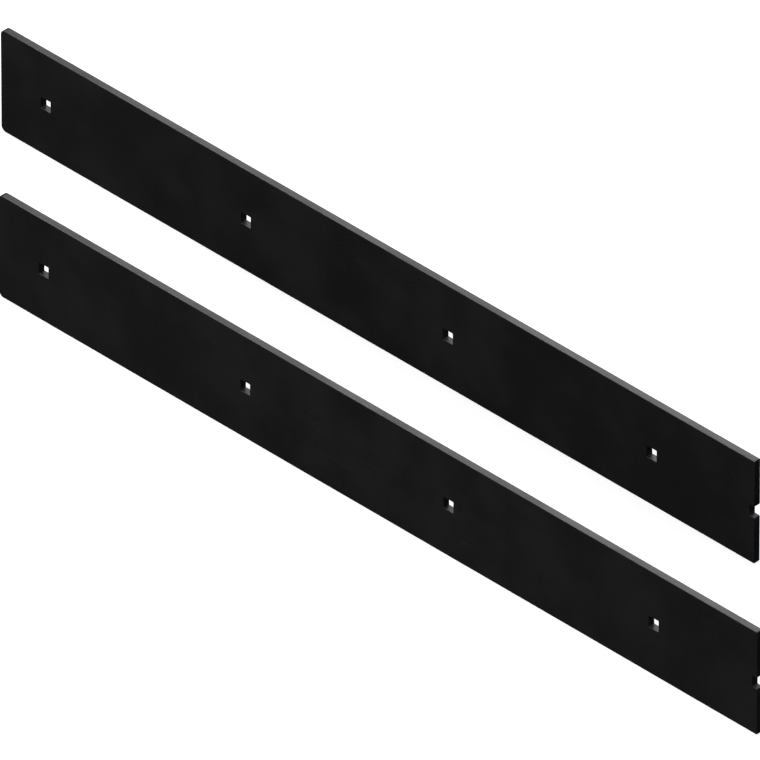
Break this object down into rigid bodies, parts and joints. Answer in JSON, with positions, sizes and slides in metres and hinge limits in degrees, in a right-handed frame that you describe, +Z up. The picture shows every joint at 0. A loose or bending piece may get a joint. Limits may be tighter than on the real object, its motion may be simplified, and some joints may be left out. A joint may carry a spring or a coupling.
{
  "type": "snow plow wear bar set",
  "caption": "Flat black steel wear bars for the bottom edge of an ATV snow plow blade, each with a line of square bolt holes and half a square hole in its inner end.",
  "frame": {"origin": "on the floor that the bars stand on, in the middle of the pair", "axes": "+X along the bars from the outer end with rounded corners to the inner end with the half hole; +Y towards the bars' back faces; +Z up, across the bars' height"},
  "size_m": [0.8178, 0.1372, 0.08],
  "materials": {
    "black_paint": "black paint, low sheen"
  },
  "bodies": {
    "root": {"rear_wear_bar": "black_paint", "front_wear_bar": "black_paint"}
  },
  "joints": []
}
